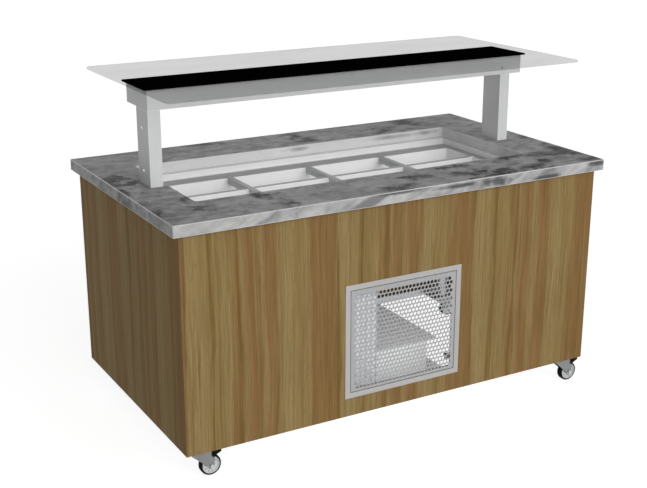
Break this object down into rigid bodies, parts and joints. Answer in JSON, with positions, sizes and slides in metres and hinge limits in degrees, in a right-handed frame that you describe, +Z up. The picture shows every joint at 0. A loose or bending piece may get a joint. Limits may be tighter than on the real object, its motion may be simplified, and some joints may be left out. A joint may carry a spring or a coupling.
{
  "type": "mobile salad bar",
  "caption": "Mobile chilled salad bar: striped wood cabinet on casters, stone top with a divided pan well, and a glass shelf over a light canopy.",
  "frame": {"origin": "On the floor under the middle of the stone top", "axes": "+Z up, +X along the counter to the right as seen from the vent side, -Y towards the vent side"},
  "size_m": [1.7, 0.97, 1.243],
  "materials": {
    "marble": "honed grey stone with dark veins",
    "laminate": "satin striped wood laminate",
    "stainless": "brushed",
    "perforated_steel": "perforated, brushed",
    "frame_paint": "grey powder coat",
    "foam": "rigid insulation foam",
    "fins": "thin folded fins",
    "motor_paint": "satin black",
    "black_plastic": "moulded, fine texture",
    "rubber": "soft",
    "copper": "drawn copper, dull",
    "zinc": "zinc plated",
    "black_plate": "black, semi-gloss",
    "clear_glass": "clear, polished edge",
    "lamp_glass": "frosted white",
    "diffuser": "opal",
    "tyre": "black tread on a grey hub"
  },
  "bodies": {
    "cabinet": {"chassis_frame": "frame_paint", "front_panel": "laminate", "back_panel": "laminate", "left_panel": "laminate", "right_panel": "laminate", "countertop": "marble", "well_liner": "stainless", "tank_insulation": "foam", "tank_casing": "stainless", "evaporator_coil": "fins", "evaporator_motor": "motor_paint", "drain_outlet": "stainless", "drain_valve": "black_plastic", "unit_tray": "stainless", "condenser_coil": "fins", "fan_shroud": "stainless", "fan_motor": "motor_paint", "compressor": "motor_paint", "compressor_feet": "rubber", "refrigerant_pipes": "copper", "electrical_box": "stainless", "electrical_lid": "stainless", "grille_frame": "stainless", "left_post": "stainless", "right_post": "stainless", "post_screws": "zinc", "canopy": "stainless", "canopy_top_plate": "black_plate", "glass_shelf": "clear_glass", "lamp_tube": "lamp_glass", "lamp_diffuser": "diffuser", "control_plate": "stainless", "power_gland": "black_plastic", "caster_plates": "zinc"},
    "cross_rail_body": {"cross_rail": "stainless"},
    "left_divider_body": {"left_divider": "stainless"},
    "middle_divider_body": {"middle_divider": "stainless"},
    "right_divider_body": {"right_divider": "stainless"},
    "evaporator_fan_body": {"evaporator_fan": "black_plastic"},
    "drain_lever_body": {"drain_lever": "black_plastic"},
    "fan_blade_body": {"fan_blade": "black_plastic"},
    "grille_door_body": {"grille_door": "perforated_steel"},
    "grille_lock_body": {"grille_lock": "black_plastic"},
    "power_switch_body": {"power_switch": "black_plastic"},
    "light_switch_body": {"light_switch": "black_plastic"},
    "thermostat_knob_body": {"thermostat_knob": "black_plastic"},
    "front_left_swivel": {"front_left_fork": "zinc", "front_left_axle": "zinc"},
    "front_left_roller": {"front_left_wheel": "tyre"},
    "front_left_pedal": {"front_left_brake": "black_plastic"},
    "front_right_swivel": {"front_right_fork": "zinc", "front_right_axle": "zinc"},
    "front_right_roller": {"front_right_wheel": "tyre"},
    "front_right_pedal": {"front_right_brake": "black_plastic"},
    "back_left_swivel": {"back_left_fork": "zinc", "back_left_axle": "zinc"},
    "back_left_roller": {"back_left_wheel": "tyre"},
    "back_right_swivel": {"back_right_fork": "zinc", "back_right_axle": "zinc"},
    "back_right_roller": {"back_right_wheel": "tyre"}
  },
  "joints": [
    {"name": "front_left_swivel_turn", "type": "hinge", "parent": "cabinet", "child": "front_left_swivel", "pos_m": [-0.765, -0.403, 0.095], "axis": [0, 0, 1], "continuous": true},
    {"name": "front_left_wheel_roll", "type": "hinge", "parent": "front_left_swivel", "child": "front_left_roller", "pos_m": [-0.72, -0.403, 0.0375], "axis": [0, 1, 0], "continuous": true},
    {"name": "front_left_brake_press", "type": "hinge", "parent": "front_left_swivel", "child": "front_left_pedal", "pos_m": [-0.713, -0.403, 0.083], "axis": [0, 1, 0], "range_deg": [0, 12]},
    {"name": "front_right_swivel_turn", "type": "hinge", "parent": "cabinet", "child": "front_right_swivel", "pos_m": [0.765, -0.403, 0.095], "axis": [0, 0, 1], "continuous": true},
    {"name": "front_right_wheel_roll", "type": "hinge", "parent": "front_right_swivel", "child": "front_right_roller", "pos_m": [0.81, -0.403, 0.0375], "axis": [0, 1, 0], "continuous": true},
    {"name": "front_right_brake_press", "type": "hinge", "parent": "front_right_swivel", "child": "front_right_pedal", "pos_m": [0.817, -0.403, 0.083], "axis": [0, 1, 0], "range_deg": [0, 12]},
    {"name": "back_left_swivel_turn", "type": "hinge", "parent": "cabinet", "child": "back_left_swivel", "pos_m": [-0.765, 0.403, 0.095], "axis": [0, 0, 1], "continuous": true},
    {"name": "back_left_wheel_roll", "type": "hinge", "parent": "back_left_swivel", "child": "back_left_roller", "pos_m": [-0.72, 0.403, 0.0375], "axis": [0, 1, 0], "continuous": true},
    {"name": "back_right_swivel_turn", "type": "hinge", "parent": "cabinet", "child": "back_right_swivel", "pos_m": [0.765, 0.403, 0.095], "axis": [0, 0, 1], "continuous": true},
    {"name": "back_right_wheel_roll", "type": "hinge", "parent": "back_right_swivel", "child": "back_right_roller", "pos_m": [0.81, 0.403, 0.0375], "axis": [0, 1, 0], "continuous": true},
    {"name": "vent_door_swing", "type": "hinge", "parent": "cabinet", "child": "grille_door_body", "pos_m": [-0.208, -0.459, 0.387], "axis": [0, 0, -1], "range_deg": [0, 110]},
    {"name": "vent_lock_turn", "type": "hinge", "parent": "grille_door_body", "child": "grille_lock_body", "pos_m": [0.194, -0.459, 0.251], "axis": [0, -1, 0], "range_deg": [0, 90]},
    {"name": "cross_rail_lift", "type": "slide", "parent": "cabinet", "child": "cross_rail_body", "axis": [0, 0, 1], "range_m": [0, 0.1]},
    {"name": "left_divider_lift", "type": "slide", "parent": "cross_rail_body", "child": "left_divider_body", "axis": [0, 0, 1], "range_m": [0, 0.1]},
    {"name": "middle_divider_lift", "type": "slide", "parent": "cross_rail_body", "child": "middle_divider_body", "axis": [0, 0, 1], "range_m": [0, 0.1]},
    {"name": "right_divider_lift", "type": "slide", "parent": "cross_rail_body", "child": "right_divider_body", "axis": [0, 0, 1], "range_m": [0, 0.1]},
    {"name": "drain_lever_turn", "type": "hinge", "parent": "cabinet", "child": "drain_lever_body", "pos_m": [0.423, -0.131, 0.385], "axis": [0, -1, 0], "range_deg": [0, 90]},
    {"name": "condenser_fan_spin", "type": "hinge", "parent": "cabinet", "child": "fan_blade_body", "pos_m": [-0.1385, -0.268, 0.319], "axis": [0, 1, 0], "continuous": true},
    {"name": "evaporator_fan_spin", "type": "hinge", "parent": "cabinet", "child": "evaporator_fan_body", "pos_m": [0.118, 0.04, 0.571], "axis": [1, 0, 0], "continuous": true},
    {"name": "power_switch_press", "type": "hinge", "parent": "cabinet", "child": "power_switch_body", "pos_m": [0.688, 0.462, 0.77], "axis": [-1, 0, 0], "range_deg": [0, 12]},
    {"name": "light_switch_press", "type": "hinge", "parent": "cabinet", "child": "light_switch_body", "pos_m": [0.64, 0.462, 0.77], "axis": [-1, 0, 0], "range_deg": [0, 12]},
    {"name": "thermostat_turn", "type": "hinge", "parent": "cabinet", "child": "thermostat_knob_body", "pos_m": [0.55, 0.46, 0.77], "axis": [0, 1, 0], "range_deg": [0, 270]}
  ]
}
